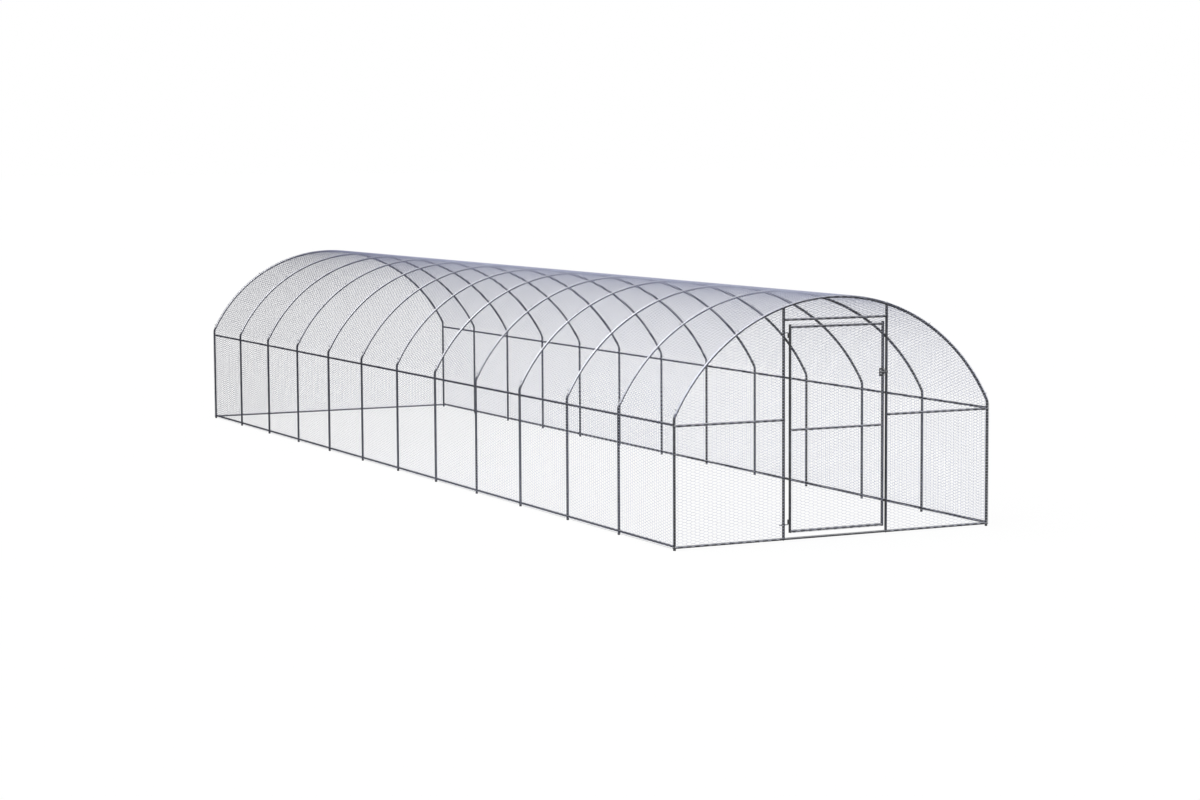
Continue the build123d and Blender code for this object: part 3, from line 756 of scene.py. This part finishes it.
class RUN_OT_end_netting(bpy.types.Operator):
    """Hang the netting on the front and rear ends"""

    bl_idname = "run.end_netting"
    bl_label = "End netting"

    def execute(self, context):
        wire = context.scene.run_netting.side_wire
        outer, inner = POST_X + NET_LAP, DOOR_POST_X - NET_LAP
        top = ARCH_Z + ARCH_R + NET_LAP
        netting_piece(
            "front_wire_netting_left", (-outer, NET_FOOT_Z), (-inner, top), wire, over_front, "frame",
            ["front_netting_left"], under_arch_planes(-outer, -inner))
        netting_piece(
            "front_wire_netting_right", (inner, NET_FOOT_Z), (outer, top), wire, over_front, "frame",
            ["front_netting_right"], under_arch_planes(inner, outer))
        netting_piece(
            "front_wire_netting_over_door", (-inner, HEADER_Z - NET_LAP), (inner, top), wire,
            over_front, "frame", ["front_netting_over_door"], under_arch_planes(-inner, inner))
        netting_piece(
            "rear_wire_netting", (-outer, NET_FOOT_Z), (outer, top), wire, over_rear, "frame",
            ["rear_netting"], under_arch_planes(-outer, outer))
        return {"FINISHED"}


class RUN_OT_door_netting(bpy.types.Operator):
    """Hang the netting on the door leaf"""

    bl_idname = "run.door_netting"
    bl_label = "Door netting"

    def execute(self, context):
        wire = context.scene.run_netting.side_wire
        low = (HINGE_STILE_X - HINGE_LAP, STILE_FOOT_Z)
        high = (LATCH_STILE_X + NET_LAP, STILE_TOP_Z)
        netting_piece("door_wire_netting", low, high, wire, over_front, "door", ["door_netting"])
        return {"FINISHED"}


# Ties, edge wires and welds

def stamped(shape, places):
    """One bmesh with a copy of a shape at each place."""
    bm = bmesh.new()
    for place in places:
        first = len(bm.verts)
        bm.from_mesh(shape)
        bm.verts.ensure_lookup_table()
        bmesh.ops.transform(bm, matrix=place, verts=bm.verts[first:])
    return bm


def spun_wire(bm, section_place, diameter, sides, axis, centre, angle, steps):
    """A wire bent round an axis, closed on itself after a whole turn."""
    closed = math.isclose(abs(angle), 2 * math.pi)
    circle = bmesh.ops.create_circle(bm, segments=sides, radius=diameter / 2, matrix=section_place)
    section = circle["verts"]
    edges = list({edge for vert in section for edge in vert.link_edges})
    bmesh.ops.spin(
        bm, geom=section + edges, axis=axis, cent=centre, angle=angle, steps=steps, use_merge=closed)


def tie_shape():
    """A loop of wire about Z round a tube and the net outside it, towards X, with its twisted tail."""
    bm = bmesh.new()
    radius = TUBE_R + TIE_GAP
    start = Matrix.Translation((radius, 0, 0)) @ Matrix.Rotation(math.pi / 2, 4, "X")
    width = TIE_WIRE * WIRE_WIDENING
    spun_wire(bm, start, width, WIRE_SIDES, (0, 0, 1), (0, 0, 0), 2 * math.pi, TIE_STEPS)
    inside = Vector((-radius, 0, 0))
    straight_wire(bm, inside, inside + Vector(TIE_TAIL), TIE_TAIL_WIRES * TIE_WIRE)
    bmesh.ops.translate(bm, verts=bm.verts, vec=(TIE_SHIFT, 0, 0))
    bmesh.ops.recalc_face_normals(bm, faces=bm.faces)
    mesh = bpy.data.meshes.new("tie_shape")
    bm.to_mesh(mesh)
    bm.free()
    return mesh


def on_tube(point, out, along):
    """A place on a tube's centre line, with X out through the net and Z along the tube."""
    out, along = Vector(out), Vector(along)
    return Matrix.Translation(point) @ Matrix((out, along.cross(out), along)).transposed().to_4x4()


def hoop_ties():
    """Ties round the arches and the posts."""
    places = []
    for y in HOOP_YS:
        for angle in ARCH_TIES:
            out = (math.sin(angle), 0, math.cos(angle))
            along = (math.cos(angle), 0, -math.sin(angle))
            places.append(on_tube((ARCH_R * out[0], y, ARCH_Z + ARCH_R * out[2]), out, along))
        for side in (-1, 1):
            for z in POST_TIE_ZS:
                places.append(on_tube((side * POST_X, y, z), (side, 0, 0), (0, 0, 1)))
    return places


def wall_rail_ties():
    """Ties round the rails of the long walls, in every bay."""
    places = []
    for y in HOOP_YS[:-1]:
        for side in (-1, 1):
            for z in SIDE_RAIL_ZS:
                for step in BAY_TIES:
                    places.append(on_tube((side * POST_X, y + step * BAY, z), (side, 0, 0), (0, 1, 0)))
    return places


def end_ties():
    """Ties round the rails, the header and the door posts of both ends."""
    places = []
    along_x, up, forward, back = (1, 0, 0), (0, 0, 1), (0, -1, 0), (0, 1, 0)
    for side in (-1, 1):
        for x in END_RAIL_TIE_XS:
            for z in (END_GROUND_Z, END_WAIST_Z):
                places.append(on_tube((side * x, FRONT_Y, z), forward, along_x))
            places.append(on_tube((side * x, REAR_Y, END_GROUND_Z), back, along_x))
        for z in DOOR_POST_TIE_ZS:
            places.append(on_tube((side * DOOR_POST_X, FRONT_Y, z), forward, up))
    for x in HEADER_TIE_XS:
        places.append(on_tube((x, FRONT_Y, HEADER_Z), forward, along_x))
        places.append(on_tube((x, REAR_Y, END_GROUND_Z), back, along_x))
    return places


def door_ties():
    """Ties round the stiles and rails of the door."""
    places = []
    for x in (HINGE_STILE_X, LATCH_STILE_X):
        for z in STILE_TIE_ZS:
            places.append(on_tube((x, FRONT_Y, z), (0, -1, 0), (0, 0, 1)))
    for x in DOOR_RAIL_TIE_XS:
        for z in DOOR_RAIL_ZS:
            places.append(on_tube((x, FRONT_Y, z), (0, -1, 0), (1, 0, 0)))
    return places


class RUN_OT_wire_ties(bpy.types.Operator):
    """Tie the netting to the tubes with loops of wire"""

    bl_idname = "run.wire_ties"
    bl_label = "Wire ties"

    def execute(self, context):
        shape = tie_shape()
        ties = {
            "hoop_wire_ties": (hoop_ties(), "frame"),
            "rail_wire_ties": (wall_rail_ties(), "frame"),
            "end_wire_ties": (end_ties(), "frame"),
            "door_wire_ties": (door_ties(), "door"),
        }
        for name, (places, body) in ties.items():
            smooth(piece(name, stamped(shape, places), body, wire_finish()))
        bpy.data.meshes.remove(shape)
        return {"FINISHED"}


def arc_wire(bm, radius, y, start, end):
    """An edge wire along the arch, in an upright plane across the run."""
    place = Matrix.Translation((0, y, ARCH_Z)) @ Matrix.Rotation(start, 4, "Y")
    place = place @ Matrix.Translation((0, 0, radius)) @ Matrix.Rotation(math.pi / 2, 4, "Y")
    spun_wire(bm, place, EDGE_WIRE, EDGE_SIDES, (0, 1, 0), (0, y, ARCH_Z), end - start, EDGE_STEPS)


def edge_lines(bm, corners):
    """Edge wires from corner to corner, in the second finish; arcs come after them, in the first."""
    for start, end in zip(corners[:-1], corners[1:]):
        straight_wire(bm, Vector(start), Vector(end), EDGE_WIRE, sides=EDGE_SIDES)
    for face in bm.faces:
        face.material_index = LINE_SLOT


def wall_edge_wires():
    """The wires along the feet of the walls and round both ends of the sheet over the run."""
    bm = bmesh.new()
    for side in (-1, 1):
        x = side * (POST_X + NET_OFF)
        front = [(x, -NET_END, BEND_Z), (x, -NET_END, NET_FOOT_Z)]
        rear = [(x, NET_END, NET_FOOT_Z), (x, NET_END, BEND_Z)]
        edge_lines(bm, front + rear)
    for y in (-NET_END, NET_END):
        arc_wire(bm, ARCH_R + NET_OFF, y, -BEND_ANGLE, BEND_ANGLE)
    return bm


def end_edge_wires():
    """The wires round the nets of the front and rear ends."""
    bm = bmesh.new()
    outer, inner = POST_X + NET_LAP, DOOR_POST_X - NET_LAP
    radius = ARCH_R + NET_LAP
    reach = math.asin(inner / radius)
    corner = math.asin(outer / radius)
    inner_z = ARCH_Z + radius * math.cos(reach)
    outer_z = ARCH_Z + radius * math.cos(corner)
    front_y, rear_y = FRONT_Y - NET_OFF, REAR_Y + NET_OFF
    for side in (-1, 1):
        outline = [(side * outer, front_y, outer_z), (side * outer, front_y, NET_FOOT_Z)]
        outline += [(side * inner, front_y, NET_FOOT_Z), (side * inner, front_y, inner_z)]
        edge_lines(bm, outline)
    header = HEADER_Z - NET_LAP
    edge_lines(bm, [(-inner, front_y, header), (inner, front_y, header)])
    left = [(-outer, rear_y, outer_z), (-outer, rear_y, NET_FOOT_Z)]
    right = [(outer, rear_y, NET_FOOT_Z), (outer, rear_y, outer_z)]
    edge_lines(bm, left + right)
    for y in (front_y, rear_y):
        arc_wire(bm, radius, y, -corner, corner)
    return bm


def door_edge_wires():
    """The wire round the door's net."""
    bm = bmesh.new()
    y = FRONT_Y - NET_OFF
    left, right = HINGE_STILE_X - HINGE_LAP, LATCH_STILE_X + NET_LAP
    low, high = STILE_FOOT_Z, STILE_TOP_Z
    edge_lines(bm, [(left, y, low), (right, y, low), (right, y, high), (left, y, high), (left, y, low)])
    return bm


class RUN_OT_edge_wires(bpy.types.Operator):
    """Run a thicker wire along the edges of the netting"""

    bl_idname = "run.edge_wires"
    bl_label = "Edge wires"

    def execute(self, context):
        edges = {
            "wall_edge_wires": (wall_edge_wires(), "frame"),
            "end_edge_wires": (end_edge_wires(), "frame"),
            "door_edge_wires": (door_edge_wires(), "door"),
        }
        for name, (bm, body) in edges.items():
            wires = smooth(piece(name, bm, body, wire_finish()))
            wires.data.materials.append(edge_finish())
        return {"FINISHED"}


def rail_weld(bm, stile_x, side, z):
    """A bead where a door rail meets a stile, on the line in which the two tubes cross."""
    first = len(bm.verts)
    start = Matrix.Translation((0, 0, RAIL_R)) @ Matrix.Rotation(math.pi / 2, 4, "X")
    spun_wire(bm, start, WELD_BEAD, WELD_SIDES, (1, 0, 0), (0, 0, 0), 2 * math.pi, WELD_STEPS)
    bm.verts.ensure_lookup_table()
    for vert in bm.verts[first:]:
        x, y, height = vert.co
        saddle = math.sqrt(max(TUBE_R**2 - y**2, 0.0))
        vert.co = (stile_x + side * (saddle + x), FRONT_Y + y, z + height)


def sleeve_weld(bm, node):
    """Two beads between a hinge sleeve and its stile."""
    low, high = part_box(node)
    for y in (-SLEEVE_WELD_Y, SLEEVE_WELD_Y):
        start = Vector((high.x, FRONT_Y + y, low.z + SLEEVE_WELD_IN))
        end = Vector((high.x, FRONT_Y + y, high.z - SLEEVE_WELD_IN))
        straight_wire(bm, start, end, WELD_BEAD, sides=SLEEVE_WELD_SIDES)
        for tip in (start, end):
            bmesh.ops.create_uvsphere(
                bm, u_segments=SLEEVE_WELD_SIDES, v_segments=SLEEVE_WELD_RINGS, radius=WELD_BEAD / 2,
                matrix=Matrix.Translation(tip))


class RUN_OT_door_welds(bpy.types.Operator):
    """Lay weld beads on the door's corners and hinges"""

    bl_idname = "run.door_welds"
    bl_label = "Door welds"

    def execute(self, context):
        bm = bmesh.new()
        for z in DOOR_RAIL_ZS:
            rail_weld(bm, HINGE_STILE_X, 1, z)
            rail_weld(bm, LATCH_STILE_X, -1, z)
        for node in ("lower_hinge_sleeve", "upper_hinge_sleeve"):
            sleeve_weld(bm, node)
        bmesh.ops.recalc_face_normals(bm, faces=bm.faces)
        smooth(piece("door_welds", bm, "door", weld_finish()))
        return {"FINISHED"}


class RUN_OT_metal_finish(bpy.types.Operator):
    """Give the tubes, hardware and fasteners their zinc"""

    bl_idname = "run.metal_finish"
    bl_label = "Metal finish"

    def execute(self, context):
        finishes = {
            "galvanised_tube": tube_finish(),
            "hardware": tube_finish(),
            "fastener": bolt_finish(),
            "netting_wire": wire_finish(),
        }
        slots = {entry["node"]: entry["material_slot"] for entry in frame["record"]["subparts"]}
        for name, node in frame["nodes"].items():
            # The arches take the finish with the painted highlight; the other tubes and the hardware
            # take painted light on their upper front
            arch = name.startswith("arch_") and slots[name] == "galvanised_tube"
            for slot in node.material_slots:
                slot.material = arch_finish() if arch else finishes[slots[name]]
        return {"FINISHED"}


# Stage

def white_mix(tree, lit, lit_socket, amount):
    """Shows white to the camera and to reflections, with a share of the lit surface in it."""
    path = add_node(tree, "ShaderNodeLightPath")
    seen = add_node(tree, "ShaderNodeMath", operation="MAXIMUM")
    seen_all = add_node(tree, "ShaderNodeMath", operation="MAXIMUM")
    link = tree.links.new
    link(path.outputs["Is Camera Ray"], seen.inputs[0])
    link(path.outputs["Is Glossy Ray"], seen.inputs[1])
    link(seen.outputs[0], seen_all.inputs[0])
    link(path.outputs["Is Transmission Ray"], seen_all.inputs[1])
    share = add_node(tree, "ShaderNodeMath", operation="MULTIPLY")
    share.inputs[1].default_value = amount
    link(seen_all.outputs[0], share.inputs[0])
    mix = add_node(tree, "ShaderNodeMixShader")
    link(share.outputs[0], mix.inputs[0])
    link(lit.outputs[lit_socket], mix.inputs[1])
    return mix


class RUN_OT_stage(bpy.types.Operator):
    """Set up the floor, the light and the camera"""

    bl_idname = "run.stage"
    bl_label = "Stage"

    def execute(self, context):
        p = context.scene.run_stage
        self.floor()
        self.world(p)
        self.lamp(p)
        self.camera(p)
        context.scene.view_settings.view_transform = "Standard"
        return {"FINISHED"}

    def floor(self):
        bm = bmesh.new()
        bmesh.ops.create_grid(bm, x_segments=1, y_segments=1, size=FLOOR_REACH)
        mesh = bpy.data.meshes.new("floor")
        bm.to_mesh(mesh)
        bm.free()
        material = bpy.data.materials.new("pale_floor")
        material.use_nodes = True
        tree = material.node_tree
        lit = tree.nodes["Principled BSDF"]
        lit.inputs["Base Color"].default_value = FLOOR_COLOUR
        lit.inputs["Roughness"].default_value = FLOOR_ROUGHNESS
        lit.inputs["Specular IOR Level"].default_value = 0.0
        white = add_node(tree, "ShaderNodeEmission", Strength=1.0)
        mix = white_mix(tree, lit, "BSDF", FLOOR_WHITE)
        tree.links.new(white.outputs["Emission"], mix.inputs[2])
        tree.links.new(mix.outputs["Shader"], tree.nodes["Material Output"].inputs["Surface"])
        mesh.materials.append(material)
        floor = bpy.data.objects.new("floor", mesh)
        bpy.context.scene.collection.objects.link(floor)

    def world(self, p):
        world = bpy.data.worlds.new("white_studio")
        world.use_nodes = True
        tree = world.node_tree
        lit = tree.nodes["Background"]
        lit.inputs["Color"].default_value = WHITE
        lit.inputs["Strength"].default_value = p.ambient
        white = add_node(tree, "ShaderNodeBackground", Color=WHITE, Strength=1.0)
        mix = white_mix(tree, lit, "Background", WORLD_WHITE)
        tree.links.new(white.outputs["Background"], mix.inputs[2])
        tree.links.new(mix.outputs["Shader"], tree.nodes["World Output"].inputs["Surface"])
        bpy.context.scene.world = world

    def lamp(self, p):
        light = bpy.data.lights.new("soft_lamp", "SUN")
        light.energy = p.lamp
        light.angle = p.spread
        lamp = bpy.data.objects.new("soft_lamp", light)
        lamp.rotation_mode = "QUATERNION"
        lamp.rotation_quaternion = Vector(p.lamp_from).to_track_quat("Z", "Y")
        bpy.context.scene.collection.objects.link(lamp)

    def camera(self, p):
        view = Vector((math.sin(p.azimuth), math.cos(p.azimuth), -math.tan(p.pitch))).normalized()
        right = view.cross(Vector((0, 0, 1))).normalized()
        up = right.cross(view)
        turned_right = math.cos(p.roll) * right + math.sin(p.roll) * up
        turned_up = -math.sin(p.roll) * right + math.cos(p.roll) * up
        data = bpy.data.cameras.new("camera")
        data.lens = p.lens
        data.sensor_width = SENSOR_WIDTH
        data.clip_end = VIEW_REACH
        camera = bpy.data.objects.new("camera", data)
        turn = Matrix((turned_right, turned_up, -view)).transposed().to_4x4()
        camera.matrix_world = Matrix.Translation(p.place) @ turn
        bpy.context.scene.collection.objects.link(camera)
        bpy.context.scene.camera = camera


class RUN_PT_sidebar(bpy.types.Panel):
    """Lists the run's pieces"""

    bl_idname = "RUN_PT_sidebar"
    bl_label = "Poultry run"
    bl_space_type = "VIEW_3D"
    bl_region_type = "UI"
    bl_category = "Poultry run"

    def draw(self, context):
        for operator in OPERATORS:
            self.layout.operator(operator.bl_idname)


OPERATORS = (
    RUN_OT_stage,
    RUN_OT_metal_finish,
    RUN_OT_roof_netting,
    RUN_OT_wall_netting,
    RUN_OT_end_netting,
    RUN_OT_door_netting,
    RUN_OT_edge_wires,
    RUN_OT_wire_ties,
    RUN_OT_door_welds,
)
GROUPS = (RunNetting, RunFinish, RunStage)


def register():
    for cls in GROUPS + OPERATORS + (RUN_PT_sidebar,):
        bpy.utils.register_class(cls)
    bpy.types.Scene.run_netting = PointerProperty(type=RunNetting)
    bpy.types.Scene.run_finish = PointerProperty(type=RunFinish)
    bpy.types.Scene.run_stage = PointerProperty(type=RunStage)


def unregister():
    del bpy.types.Scene.run_netting
    del bpy.types.Scene.run_finish
    del bpy.types.Scene.run_stage
    for cls in reversed(GROUPS + OPERATORS + (RUN_PT_sidebar,)):
        bpy.utils.unregister_class(cls)


def main():
    register()
    bpy.ops.run.stage()
    bpy.ops.run.metal_finish()
    bpy.ops.run.roof_netting()
    bpy.ops.run.wall_netting()
    bpy.ops.run.end_netting()
    bpy.ops.run.door_netting()
    bpy.ops.run.edge_wires()
    bpy.ops.run.wire_ties()
    bpy.ops.run.door_welds()


if __name__ == "__main__":
    main()
